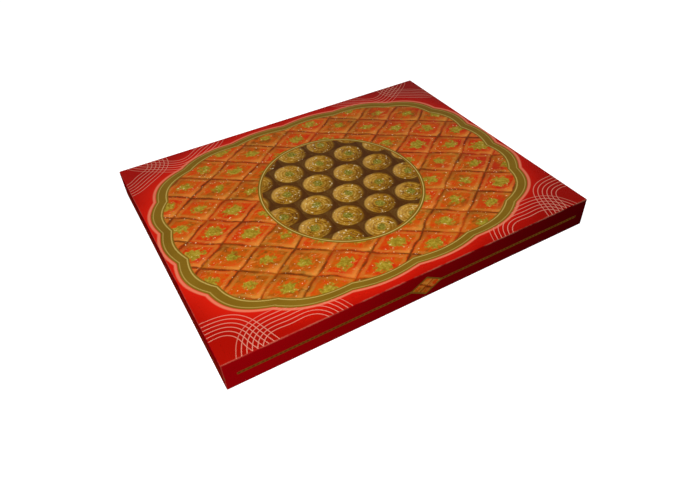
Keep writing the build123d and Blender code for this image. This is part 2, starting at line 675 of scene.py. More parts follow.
    def nest_tray(self) -> Tree:
        """A printed tray of round shredded-pastry nests: rings of brown threads in staggered rows, a few
        green nuts in each hollow, and dark gaps between.

        Returns:
            The group.
        """
        graph, (place,) = shared_group("nest_tray", ["Color"])
        x, y, _ = graph.split(place)
        pitch_x, pitch_y = 38.0, 33.0
        row_place = y / pitch_y
        row = row_place.floor()
        column_place = (x + (row * 0.5).fraction() * pitch_x) / pitch_x
        column = column_place.floor()
        across = (column_place.fraction() - 0.5) * pitch_x
        along = (row_place.fraction() - 0.5) * pitch_y
        chance = graph.chance(graph.join(column, row, 3.0))
        radius = graph.length(across, along)
        turn = graph.angle(along, across)
        ragged = (graph.noise(place, 5.0, 4, 0.7) - 0.5) * 8.0
        threads = (radius * 1.9 + (turn + ragged * 1.1)).sine()
        shade = threads * 0.085 + chance * 0.12 + graph.noise(place, 5, 5, 0.65)
        browns = [(0.34, (82, 46, 8)), (0.48, (122, 80, 13)), (0.62, (140, 101, 24)), (0.78, (173, 137, 64))]
        brown = graph.ramp(shade, browns)
        slope = across - along
        brown = graph.blend(slope.step(3, 22) * 0.55, brown, (64, 34, 6))
        brown = graph.blend(slope.step(-5, -21) * 0.3, brown, (206, 164, 88))
        hollow = (radius + ragged).step(6.4, 3.6) * 0.8
        green = graph.ramp(graph.noise(place, 2.0, 3), [(0.35, (60, 62, 10)), (0.62, (122, 119, 42))])
        picture = graph.blend(hollow, brown, green)
        gap = (radius + ragged * 0.35).step(14.6, 17.6)
        picture = graph.blend(gap * 0.9, picture, (57, 28, 6))
        glint = graph.noise(place, 2.6, 2).step(0.63, 0.7) * gap.step(0.6, 0.2)
        picture = graph.blend(glint * 0.75, picture, (200, 184, 143))
        return graph.put_out(Color=picture)


# Finishes


@dataclass(frozen=True)
class Finish:
    """A Principled surface: its constants, and the paint that varies over it."""

    name: str
    specular: float = 0.5
    coat_roughness: float = 0.1
    subsurface: float = 0.0

    def material(self, effects: Effects) -> Material:
        """Builds the surface, with its constants set on the shader's own sockets.

        Args:
            effects: The shared groups.

        Returns:
            The material.
        """
        material = bpy.data.materials.new(self.name)
        material.use_nodes = True
        graph = Graph(material.node_tree)
        inputs = {
            "Specular IOR Level": self.specular,
            "Coat Roughness": self.coat_roughness,
            "Subsurface Weight": self.subsurface,
            "Subsurface Radius": (0.004, 0.0015, 0.0006),
        }
        place = graph.stretch(graph.coordinates("Object"), (1 / MM, 1 / MM, 1 / MM))
        inputs.update(self.paint(graph, effects, place))
        shader = material.node_tree.nodes["Principled BSDF"]
        for socket, value in inputs.items():
            graph.feed(shader.inputs[socket], value)
        return material

    def paint(self, graph: Graph, effects: Effects, place: Value) -> dict[str, Value]:
        """What varies over the surface.

        Args:
            graph: The material's nodes.
            effects: The shared groups.
            place: The piece's own coordinates in millimetres.

        Returns:
            Values by the name of the shader's socket.
        """
        raise NotImplementedError


@dataclass(frozen=True)
class CoverPrint(Finish):
    """The lid's printed outside: a scalloped picture field on red, framed in dull gold, with fine pale
    line work in the corners, a gold stripe round the skirts and rubbed ink along the creases. Painted shade
    darkens the red of the top and the skirts towards the right."""

    half_length: float = 200.0
    half_width: float = 160.0
    height: float = 33.0
    field_x: float = 188.0
    field_y: float = 143.0
    field_power: float = 2.9
    scallops: float = 9.0
    oval_x: float = 84.0
    oval_y: float = 92.0
    arc_pitch: float = 4.6
    fans: tuple[tuple[float, float, float], ...] = ((204.0, 164.0, 46.0), (132.0, 186.0, 50.0))
    stripe_height: float = 15.5

    def fan(self, graph: Graph, x: Value, y: Value, centre: tuple[float, float], reach: float) -> Value:
        """A band of fine even arcs round a centre, which a slow wave draws in and out as they turn.

        Args:
            graph: The material's nodes.
            x: The place along X.
            y: The place along Y.
            centre: Where the arcs have their centre.
            reach: The radius of the band's middle.

        Returns:
            1 on the arcs.
        """
        across, along = x - centre[0], y - centre[1]
        place = graph.length(across, along) + (graph.angle(along, across) * 5.0).sine() * 2.6
        arcs = (place / self.arc_pitch).fraction().line(0.5, 0.045, 0.075)
        return arcs * place.line(reach, 11.0, 3.0)

    def top_colour(self, graph: Graph, effects: Effects, place: Value) -> Value:
        """The print on the lid's top, with painted shade that darkens its red ground towards the right. The
        picture field is a rounded oblong, where the sum of the shares of its half sizes, each raised to a
        power, is below 1, less a scallop that follows the turn round it.

        Args:
            graph: The material's nodes.
            effects: The shared groups.
            place: The piece's own coordinates in millimetres.

        Returns:
            The colour.
        """
        x, y, _ = graph.split(place)
        share_x, share_y = abs(x) / self.field_x, abs(y) / self.field_y
        scallop = abs((graph.angle(share_y, share_x) * self.scallops).cosine()) * 0.026
        rim = (share_x ** self.field_power + share_y ** self.field_power) ** (1 / self.field_power) - scallop
        beyond = (rim - 0.955) * 160.0
        # The ground darkens towards the corners as print, and from left to right as painted shade.
        ground_print_and_shade = beyond.step(46, 0) * 0.85 + x.step(200, -200) * 0.3
        reds = [(0.0, (121, 6, 1)), (0.45, (140, 9, 2)), (1.0, (174, 21, 7))]
        ground = graph.ramp(ground_print_and_shade, reds)
        fans = [
            self.fan(graph, x, y, (side * along, end * across), reach)
            for along, across, reach in self.fans
            for side, end in product((-1, 1), repeat=2)
        ]
        ground = graph.blend(reduce(graph.most, fans) * 0.6, ground, (197, 143, 122))
        ground = graph.blend(beyond.line(12.4, 0.35, 1.6) * 0.8, ground, (192, 108, 80))
        gold = graph.blend(graph.noise(place, 30, 2), (95, 68, 11), (112, 86, 21))
        framed = graph.blend(beyond.step(11.2, 10.4), ground, gold)
        for centre, half, strength in ((1.8, 0.3, 0.7), (8.8, 0.2, 0.5)):
            framed = graph.blend(beyond.line(centre, half, 0.5) * strength, framed, (168, 145, 75))
        diamonds = graph.use(effects.diamonds, Place=place)["Color"]
        nests = graph.use(effects.nests, Place=place)["Color"]
        oval = (graph.length(x / self.oval_x, y / self.oval_y) - 1.0) * 88.0
        picture = graph.blend(oval.step(0.6, -0.6), diamonds, nests)
        picture = graph.blend(oval.line(2.4, 1.8, 0.6), picture, gold)
        picture = graph.blend(oval.line(2.4, 0.25, 0.4) * 0.8, picture, (183, 160, 91))
        return graph.blend(beyond.step(0.5, -0.5), framed, picture)

    def skirt_colour(self, graph: Graph, effects: Effects, place: Value) -> Value:
        """The print on the skirts: red, with painted shade that darkens it to the right, and a gold stripe of
        beads and a lozenge.

        Args:
            graph: The material's nodes.
            effects: The shared groups.
            place: The piece's own coordinates in millimetres.

        Returns:
            The colour.
        """
        x, y, z = graph.split(place)
        # Painted shade: the tone falls from left to right, so the skirt's red darkens towards the right as if
        # lit from the left.
        tone = x.step(240, -220) + (graph.noise(place, 60, 2) - 0.5) * 0.16
        ground = graph.ramp(tone, [(0.0, (65, 0, 3)), (0.55, (103, 1, 4)), (1.0, (134, 2, 7))])
        gold = graph.blend(graph.noise(place, 9, 3), (85, 51, 8), (109, 77, 23))
        beads = ((x + y) / 4.2).fraction().line(0.5, 0.2, 0.14)
        from_ends = self.half_length - abs(x)
        ends = graph.most(from_ends.step(11, 12), from_ends.step(1.2, 0.8))
        stripe = z.line(self.stripe_height, 1.4, 0.3) * ends * 0.8
        beaded = beads * z.line(self.stripe_height, 0.5, 0.3) * 0.75
        colour = graph.blend(stripe, ground, graph.blend(beaded, gold, (52, 28, 8)))
        lozenge = abs(x) / 19 + abs(z - self.stripe_height) / 11.5
        front = y.step(-self.half_width + 1.2, -self.half_width + 0.8)
        colour = graph.blend(lozenge.step(1.02, 0.98) * front, colour, gold)
        across, _, up = graph.split(graph.stretch(place, (1.6, 1.6, 1.6)))
        small = graph.use(effects.diamonds, Place=graph.join(across, up - 25.0))["Color"]
        return graph.blend(lozenge.step(0.84, 0.8) * front, colour, small)

    def paint(self, graph: Graph, effects: Effects, place: Value) -> dict[str, Value]:
        """The top or skirt print by where the surface is, with rubbed ink along the creases.

        Args:
            graph: The material's nodes.
            effects: The shared groups.
            place: The piece's own coordinates in millimetres.

        Returns:
            Values by the name of the shader's socket.
        """
        x, y, z = graph.split(place)
        from_end, from_front = self.half_length - abs(x), y + self.half_width
        top = graph.least(from_end, from_front).step(0.45, 0.65)
        skirt = self.skirt_colour(graph, effects, place)
        colour = graph.blend(top, skirt, self.top_colour(graph, effects, place))
        below_top = self.height - z
        creases = (
            (graph.most(from_front, below_top), 1.35, 0.2),
            (graph.most(from_end, below_top), 0.9, 0.16),
            (graph.most(from_end, from_front), 1.1, 0.16),
        )
        wear = [
            graph.use(effects.wear, Place=place, Distance=distance, Width=width)["Mask"] * strength
            for distance, width, strength in creases
        ]
        worn = reduce(graph.most, wear)
        colour = graph.blend(worn, colour, (184, 127, 101))
        roughness = 0.24 + graph.noise(place, 34, 4, 0.6) * 0.22 + worn * 0.3
        swell = graph.noise(place, 46, 2) + graph.noise(place, 0.8, 2) * 0.015
        return {"Base Color": colour, "Roughness": roughness, "Normal": graph.bump(swell, 0.5, 0.9)}


@dataclass(frozen=True)
class PlainCard(Finish):
    """Folding card with its pulp showing: a pale face, dark flecks and a felt of fibres."""

    dark: tuple[float, float, float] = (182, 174, 160)
    light: tuple[float, float, float] = (212, 206, 194)
    flecks: float = 0.5

    def paint(self, graph: Graph, effects: Effects, place: Value) -> dict[str, Value]:
        """Cloudy pulp with flecks, and a felt of fibres as its height.

        Args:
            graph: The material's nodes.
            effects: The shared groups.
            place: The piece's own coordinates in millimetres.

        Returns:
            Values by the name of the shader's socket.
        """
        fibre = graph.use(effects.fibre, Place=place)
        colour = graph.blend(fibre["Shade"].step(0.2, 0.8), self.dark, self.light)
        fleck = fibre["Flecks"] * self.flecks
        colour = graph.blend(fleck, colour, [0.45 * part for part in self.dark])
        felt = graph.bump(fibre["Height"], 0.35, 0.12)
        return {"Base Color": colour, "Roughness": 0.62 + fibre["Shade"] * 0.25, "Normal": felt}


@dataclass(frozen=True)
class BaseInk(Finish):
    """The base's outside: one flat deep red ink with rub marks and pale worn corners."""

    half_length: float = 198.4
    front: float = -159.0
    back: float = 160.0

    def paint(self, graph: Graph, effects: Effects, place: Value) -> dict[str, Value]:
        """Uneven ink with long scuffs, rubbed through along the corners.

        Args:
            graph: The material's nodes.
            effects: The shared groups.
            place: The piece's own coordinates in millimetres.

        Returns:
            Values by the name of the shader's socket.
        """
        x, y, z = graph.split(place)
        colour = graph.blend(graph.noise(place, 48, 3), (106, 6, 4), (140, 9, 6))
        scuffs = graph.noise(graph.stretch(place, (0.08, 1.0, 1.0)), 2.6, 3, 0.7).step(0.62, 0.72)
        colour = graph.blend(scuffs * 0.18, colour, (185, 108, 90))
        worn = graph.use(effects.wear, Place=place, Distance=z, Width=0.9)["Mask"]
        along = graph.least(y - self.front, self.back - y)
        upright = graph.most(self.half_length - abs(x), along)
        corner = graph.use(effects.wear, Place=place, Distance=upright, Width=0.8)["Mask"]
        colour = graph.blend(graph.most(worn, corner) * 0.5, colour, (198, 151, 131))
        swell = graph.bump(graph.noise(place, 40, 2), 0.4, 0.8)
        return {"Base Color": colour, "Roughness": 0.34 + scuffs * 0.2, "Normal": swell}


@dataclass(frozen=True)
class Greaseproof(Finish):
    """Thin paper gone translucent with butter and syrup in patches."""

    def paint(self, graph: Graph, effects: Effects, place: Value) -> dict[str, Value]:
        """Dry paper, darker and smoother where it is soaked, with a net of wrinkles.

        Args:
            graph: The material's nodes.
            effects: The shared groups.
            place: The piece's own coordinates in millimetres.

        Returns:
            Values by the name of the shader's socket.
        """
        fibre = graph.use(effects.fibre, Place=place)
        soaked = graph.noise(place, 24, 4, 0.6).step(0.45, 0.62)
        dry = graph.blend(fibre["Shade"], (214, 204, 178), (240, 234, 216))
        colour = graph.blend(soaked * 0.6, dry, (186, 148, 84))
        wrinkle = graph.cells(graph.stretch(place, (1.0, 1.0, 0.6)), 16, "DISTANCE_TO_EDGE")
        creased = graph.bump(wrinkle.step(0.0, 0.22), 0.5, 0.4)
        return {"Base Color": colour, "Roughness": 0.6 - soaked * 0.3, "Normal": creased}


@dataclass(frozen=True)
class Filo(Finish):
    """Baked and syruped filo: flaky browned top, stacked leaves at the cut sides, a wet film."""

    deep: tuple[float, float, float] = (122, 60, 12)
    middle: tuple[float, float, float] = (192, 120, 36)
    pale: tuple[float, float, float] = (226, 174, 88)
    layer: float = 0.75
    # How strongly painted shade darkens the wrinkles; 0 leaves none.
    wrinkles: float = 0.0

    def paint(self, graph: Graph, effects: Effects, place: Value) -> dict[str, Value]:
        """The top by how baked it is, the cut sides by their leaves, and syrup over both.

        Args:
            graph: The material's nodes.
            effects: The shared groups.
            place: The piece's own coordinates in millimetres.

        Returns:
            Values by the name of the shader's socket.
        """
        leaves = graph.use(effects.leaves, Place=place)
        syrup = graph.use(effects.syrup, Place=place)
        facing = graph.split(graph.coordinates("Normal"))[2]
        side = abs(facing).step(0.75, 0.35)
        browns = [(0.36, self.deep), (0.5, self.middle), (0.62, self.pale)]
        top = graph.ramp(leaves["Bake"], browns)
        top = graph.blend(leaves["Torn"] * 0.5, top, self.pale)
        # Painted shade: dark lines across the length stand in for the shade in the roll's wrinkles.
        across = graph.noise(graph.stretch(place, (1.0, 0.22, 0.22)), 2.1, 3, 0.6, 0.6)
        furrow_shade = across.step(0.5, 0.36) * self.wrinkles
        top = graph.blend(furrow_shade, top, [0.7 * part for part in self.deep])
        between = [0.62 * part for part in self.deep]
        cut = graph.blend(leaves["Layers"], between, self.pale)
        colour = graph.blend(side * self.layer, top, cut)
        stacked = leaves["Layers"] * side * 1.1
        return {
            "Base Color": colour,
            "Roughness": syrup["Roughness"],
            "Coat Weight": syrup["Wet"] * 0.3,
            "Normal": graph.bump(leaves["Height"] + stacked, 0.75, 0.9),
        }


@dataclass(frozen=True)
class Pistachio(Finish):
    """Chopped pistachio: green with a few purple-brown skins."""

    def paint(self, graph: Graph, effects: Effects, place: Value) -> dict[str, Value]:
        """Green flesh with patches of skin and a fine grain.

        Args:
            graph: The material's nodes.
            effects: The shared groups.
            place: The piece's own coordinates in millimetres.

        Returns:
            Values by the name of the shader's socket.
        """
        tone = graph.noise(place, 1.7, 3, 0.6)
        greens = [(0.3, (92, 104, 22)), (0.5, (140, 148, 44)), (0.68, (188, 190, 86))]
        flesh = graph.ramp(tone, greens)
        skins = graph.noise(place, 3.1, 2).step(0.6, 0.68)
        syrup = graph.use(effects.syrup, Place=place)
        colour = graph.blend(skins * 0.7, flesh, (96, 52, 36))
        grain = graph.bump(graph.noise(place, 0.6, 3), 0.5, 0.2)
        return {"Base Color": colour, "Roughness": syrup["Roughness"] + 0.1, "Normal": grain}


@dataclass(frozen=True)
class Finishes:
    """Every material of the object, built once."""

    cover: Material
    skirt: Material
    inside: Material
    edge: Material
    base_ink: Material
    divider: Material
    paper: Material
    square: Material
    roll: Material
    triangle: Material
    nuts: Material

    @staticmethod
    def build() -> "Finishes":
        """Builds the shared groups and then each finish from them.

        Returns:
            The finishes.
        """
        effects = Effects()
        glazed = {"specular": 0.25, "subsurface": 0.08, "coat_roughness": 0.16}
        browned = {"deep": (88, 46, 10), "middle": (146, 96, 30), "pale": (196, 148, 70)}
        golden = {"deep": (130, 66, 16), "middle": (200, 120, 38), "pale": (230, 172, 90)}
        finishes = {
            "cover": CoverPrint("cover_print_and_shade", specular=0.018),
            "skirt": CoverPrint("skirt_print_and_shade", specular=0.0),
            "inside": PlainCard("card_inside", specular=0.25),
            "edge": PlainCard("card_cut_edge", dark=(168, 148, 122), light=(206, 190, 166), flecks=0.2),
            "base_ink": BaseInk("base_red_ink", specular=0.012),
            "divider": PlainCard("divider_card", dark=(186, 172, 146), light=(228, 218, 196), flecks=0.25),
            "paper": Greaseproof("greaseproof_paper", specular=0.3, subsurface=0.1),
            "square": Filo("square_filo", **glazed),
            "roll": Filo("roll_filo", layer=0.4, wrinkles=0.75, **browned, **glazed),
            "triangle": Filo("triangle_filo", **golden, **glazed),
            "nuts": Pistachio("chopped_pistachio", specular=0.4),
        }
        return Finishes(**{name: finish.material(effects) for name, finish in finishes.items()})


# Card


@dataclass
class Lid:
    """The hinged lid: one sheet folded into a top and three full-depth skirts, with glued corner tabs."""

    half_length: float = 200.0
    half_width: float = 160.0
    height: float = 33.0
    board: float = 0.6
    lift: float = 1.0
    crease: float = 1.0
    sag: float = 0.7
    lean: float = 0.2
    upright_share: float = 0.3
    hinge_inset: float = 1.6
    hinge_core: float = 0.04

    def handled(self, points: Array) -> Array:
        """The lid as handling leaves it: the top sinks at its middle as a product of cosines, the skirts'
        free edges lean in as the square of their depth, and slow noise loosens both.

        Args:
            points: Points of the folded sheet.

        Returns:
            The moved points.
        """
        moved = points.copy()
        x, y, z = points.T
        level = np.clip((z - self.lift) / (self.height - self.lift), 0, 1)
        top = level > 0.95
        sink = np.cos(np.pi * x / 2 / self.half_length) * np.cos(np.pi * y / 2 / self.half_width)
        loose = lattice_noise(points, 85.0, 5)
        moved[:, 2] -= np.where(top, self.sag * sink + 0.12 * (loose + 1) * sink, 0)
        lean = (1 - level) ** 2 * (self.lean + 0.05 * loose)
        near_end = np.abs(x) > self.half_length - 2
        near_front = y < -self.half_width + 2
        moved[:, 0] -= np.where(near_end, np.sign(x) * lean, 0)
        moved[:, 1] += np.where(near_front, lean, 0)
        return moved

    def build(self, finishes: Finishes) -> list[Piece]:
        """Builds the folded sheet and dresses the tabs.

        Args:
            finishes: The object's materials.

        Returns:
            The new pieces.
        """
        card = FoldedCard(
            low=(-self.half_length, -self.half_width, self.lift),
            high=(self.half_length, self.half_width - self.board, self.height),
            sides=(Side.TOP, Side.FRONT, Side.LEFT, Side.RIGHT),
            board=self.board,
            crease=self.crease,
        )
        sheet = card.sheet(self.handled)
        middle = sheet.points[sheet.quads].mean(axis=1)
        from_ends = self.half_length - np.abs(middle[:, 0])
        from_sides = np.minimum(from_ends, self.half_width + middle[:, 1])
        upright = from_sides < self.upright_share * self.crease
        sheet.slots[(sheet.slots == 0) & upright] = 3
        finish = [finishes.cover, finishes.inside, finishes.edge, finishes.skirt]
        shell = sheet.make("lid_card", finish)
        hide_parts("lid_top", "lid_front_skirt", "lid_left_skirt", "lid_right_skirt")
        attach(shell, "lid")
        dress(("lid_corner_tabs",), finishes.inside)
        return [shell, self.hinge_crease(finishes)]

    def hinge_crease(self, finishes: Finishes) -> Piece:
        """The fold along the back: a quarter round of the board's thickness between the wall and the top.

        Args:
            finishes: The object's materials.

        Returns:
            The strip.
        """
        turn = np.linspace(0, np.pi / 2, 7)
        reach = self.half_length - self.hinge_inset
        along = np.linspace(-reach, reach, 60)
        middle_y, middle_z = self.half_width - self.board, self.height - self.board
        arc = np.stack([middle_y + self.board * np.cos(turn), middle_z + self.board * np.sin(turn)], axis=-1)
        points = np.zeros((len(along), len(turn), 3))
        points[..., 0] = along[:, None]
        points[..., 1:] = arc[None]
        middle = points.copy()
        middle[..., 1:] = (middle_y, middle_z)
        core = middle + (points - middle) * self.hinge_core
        quads = grid_quads(len(along), len(turn))
        sheet = thick_sheet(points.reshape(-1, 3), core.reshape(-1, 3), quads, (0, 1, 2))
        piece = sheet.make("lid_back_crease", [finishes.cover, finishes.inside, finishes.edge])
        start = (0, (middle_y + self.board) * MM, middle_z * MM)
        end = (0, middle_y * MM, (middle_z + self.board) * MM)
        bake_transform(piece)
        return piece


@dataclass
class Base:
    """The open tray under the lid, with its glue tabs, dividers and paper."""

    half_length: float = 198.4
    front: float = -159.0
    back: float = 160.0
    wall_top: float = 31.9
    back_top: float = 32.4
    board: float = 0.6
    crease: float = 0.9
    mid_height: float = 16.0
    leaf_height: float = 22.0
    leaf_push: float = 0.35
    leaf_waver: float = 0.5

    def raised_back(self, points: Array) -> Array:
        """The walls with the back one raised: its points above mid-height stretch up in proportion, so that
        it alone reaches the hinge.

        Args:
            points: Points of the folded sheet.

        Returns:
            The moved points.
        """
        moved = points.copy()
        at_back = points[:, 1] > self.back - self.board - 0.02
        share = np.clip((points[:, 2] - self.mid_height) / (self.wall_top - self.mid_height), 0, 1)
        moved[:, 2] += np.where(at_back, share * (self.back_top - self.wall_top), 0)
        return moved

    def build(self, finishes: Finishes) -> list[Piece]:
        """Builds the tray and dresses what stands in it.

        Args:
            finishes: The object's materials.

        Returns:
            The new pieces.
        """
        card = FoldedCard(
            low=(-self.half_length, self.front, 0.0),
            high=(self.half_length, self.back, self.wall_top),
            sides=(Side.BOTTOM, Side.FRONT, Side.BACK, Side.LEFT, Side.RIGHT),
            board=self.board,
            crease=self.crease,
        )
        finish = [finishes.base_ink, finishes.inside, finishes.edge]
        shell = card.sheet(self.raised_back).make("base_card", finish)
        walls = ("base_front_wall", "base_back_wall", "base_left_wall", "base_right_wall")
        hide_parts("base_bottom", *walls)
        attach(shell, "base")
        dress(("base_corner_tabs",), finishes.inside)
        dress(("divider_1", "divider_2", "divider_3"), finishes.divider)
        dress(("liner_floor",), finishes.paper)
        leaves = [self.paper_leaf(node, finishes) for node in ("liner_front_leaf", "liner_back_leaf")]
        return [shell, *leaves]

    def paper_leaf(self, node: str, finishes: Finishes) -> Piece:
        """A leaf of paper up a long wall: a flat sheet that noise pushes in towards the pastry, more at its
        free top edge, whose height wavers.

        Args:
            node: The leaf's CAD node.
            finishes: The object's materials.

        Returns:
            The new piece.
        """
        low, high = (np.array(corner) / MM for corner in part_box(node))
        across, up = np.meshgrid(np.linspace(low[0], high[0], 190), np.linspace(0, 1, 12), indexing="ij")
        inward = 1 if node == "liner_front_leaf" else -1
        wall = low[1] if inward > 0 else high[1]
        thickness = high[1] - low[1]
        flat = np.stack([across, np.zeros_like(across), up * self.leaf_height], axis=-1)
        push = self.leaf_push * up * (1 + lattice_noise(flat, 13.0, 21 + inward)) + 0.02
        waver = self.leaf_waver * up * lattice_noise(flat * [1, 0, 0], 19.0, 31 + inward)
        top = low[2] + (high[2] - low[2]) * up + waver
        outer = np.stack([across, wall + inward * push, np.minimum(top, high[2] + 0.4)], axis=-1)
        inner = outer + [0, inward * thickness, 0]
        quads = grid_quads(*across.shape)
        if inward < 0:
            quads = quads[:, ::-1]
        sheet = thick_sheet(outer.reshape(-1, 3), inner.reshape(-1, 3), quads, (0, 0, 0))
        piece = sheet.make(f"{node}_paper", [finishes.paper], smooth=60.0)
        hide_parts(node)
        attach(piece, "base")
        return piece


def dress(nodes: Sequence[str], material: Material) -> None:
    """Gives the carried-over CAD nodes a material.

    Args:
        nodes: Their names.
        material: What they get in every slot.
    """
    for name in nodes:
        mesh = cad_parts[name].data
        mesh.materials.clear()
        mesh.materials.append(material)


# Pastry


def closed_tube(rings: Array, first: Array, last: Array) -> Surface:
    """Rings of points joined one to the next, each end closed by a fan.

    Args:
        rings: Points by ring and by place in the ring, anticlockwise as seen from the last ring.
        first: The point that closes the first ring.
        last: The point that closes the last ring.

    Returns:
        The closed surface.
    """
    rows, columns = rings.shape[:2]
    here = np.arange(columns)
    following = (here + 1) % columns
    final = (rows - 1) * columns
    first_fan = np.stack([following, here, np.full(columns, rows * columns)], axis=-1)
    last_fan = np.stack([final + here, final + following, np.full(columns, rows * columns + 1)], axis=-1)
    points = np.concatenate([rings.reshape(-1, 3), first[None], last[None]])
    return Surface(points, grid_quads(rows, columns, wrap=True), np.concatenate([first_fan, last_fan]))


class Cut(Enum):
    """The shapes that the pastry is cut to."""

    SQUARE = "square"
    ROLL = "roll"
    TRIANGLE = "triangle"


@dataclass
class CutPiece:
    """An upright-sided piece of filo pastry over an outline, with a low crown."""

    outline: Array
    foot: float
    height: float
    edge_round: float
    seed: int
    levels: int
    rings: int
    leaf_depth: float = 0.34
    wobble_depth: float = 0.18
    flake_depth: float = 0.42
    crown_sink: float = 0.66

    def profile(self) -> tuple[Array, Array]:
        """The side's section, from the foot up and over the round at the top.

        Returns:
            Its inset from the outline and its height.
        """
        side = np.linspace(0, self.height - self.edge_round, self.levels)
        turn = np.linspace(0, np.pi / 2, 6)[1:]
        inset = np.concatenate([np.zeros(self.levels), self.edge_round * (1 - np.cos(turn))])
        rise = np.concatenate([side, self.height - self.edge_round + self.edge_round * np.sin(turn)])
        return inset, rise

    def surface(self) -> Surface:
        """The closed piece. Rings of the outline shrink towards its middle by the profile's inset and then
        evenly to a point. The sides are pushed in and out by a saw of thin leaves with noise in their
        height, and the top by flake noise that fades at the rim.

        Returns:
            The piece's surface.
        """
        centre = self.outline.mean(axis=0)
        spoke = self.outline - centre
        reach = np.linalg.norm(spoke, axis=1)
        inset, rise = self.profile()
        share = 1 - inset[:, None] / reach[None, :]
        inner = np.linspace(1, 0, self.rings + 1)[1:-1]
        share = np.concatenate([share, share[-1][None] * inner[:, None]])
        level = np.concatenate([rise, np.full(len(inner), self.height)])
        flat = centre + spoke[None] * share[..., None]
        points = np.concatenate([flat, np.broadcast_to(level[:, None, None], (*flat.shape[:2], 1))], axis=-1)
        points[..., 2] += self.foot
        wobble = lattice_noise(points * [1, 1, 0.4], 8.0, self.seed)
        saw = np.abs(((points[..., 2] + 1.2 * wobble) * LEAVES_PER_MM) % 1 - 0.5) * 2
        push = self.leaf_depth * (saw - 1) - self.wobble_depth * (wobble + 1)
        push = np.where(level[:, None] < self.height - 0.3, push, 0)
        points[..., :2] += spoke[None] / reach[None, :, None] * push[..., None]
        fine = lattice_noise(points * [1, 0.6, 0], 3.4, self.seed + 3)
        coarse = lattice_noise(points * [0.7, 1, 0], 7.5, self.seed + 5)
        top = np.clip((level - self.height + self.edge_round) / self.edge_round, 0, 1)[:, None]
        points[..., 2] += top * (self.flake_depth * (fine + 0.6 * coarse) - self.crown_sink)
        return closed_tube(points, np.array([*centre, self.foot]), points[-1].mean(axis=0))


def rounded_outline(corners: Array, radius: float, count: int) -> Array:
    """A polygon with rounded corners, as evenly spaced points running anticlockwise.

    Each corner is an arc that touches both of its sides, and straight runs join the arcs.

    Args:
        corners: The polygon's corners, anticlockwise.
        radius: The arcs' radius.
        count: How many points to return.

    Returns:
        The points.
    """
    path = []
    for before, here, after in zip(np.roll(corners, 1, 0), corners, np.roll(corners, -1, 0)):
        arrive = (before - here) / np.linalg.norm(before - here)
        leave = (after - here) / np.linalg.norm(after - here)
        half = math.acos(float(np.clip(arrive @ leave, -1, 1))) / 2
        middle = (arrive + leave) / np.linalg.norm(arrive + leave)
        centre = here + middle * radius / math.sin(half)
        first = here + arrive * radius / math.tan(half) - centre
        last = here + leave * radius / math.tan(half) - centre
        sweep = math.pi - 2 * half
        share = np.linspace(0, 1, 9)[:, None]
        arc = np.sin((1 - share) * sweep) * first + np.sin(share * sweep) * last
        path.append(centre + arc / math.sin(sweep))
    path = np.concatenate(path)
    closed = np.concatenate([path, path[:1]])
    length = np.concatenate([[0], np.cumsum(np.linalg.norm(np.diff(closed, axis=0), axis=1))])
    even = np.linspace(0, length[-1], count, endpoint=False)
    return np.stack([np.interp(even, length, closed[:, axis]) for axis in range(2)], axis=-1)


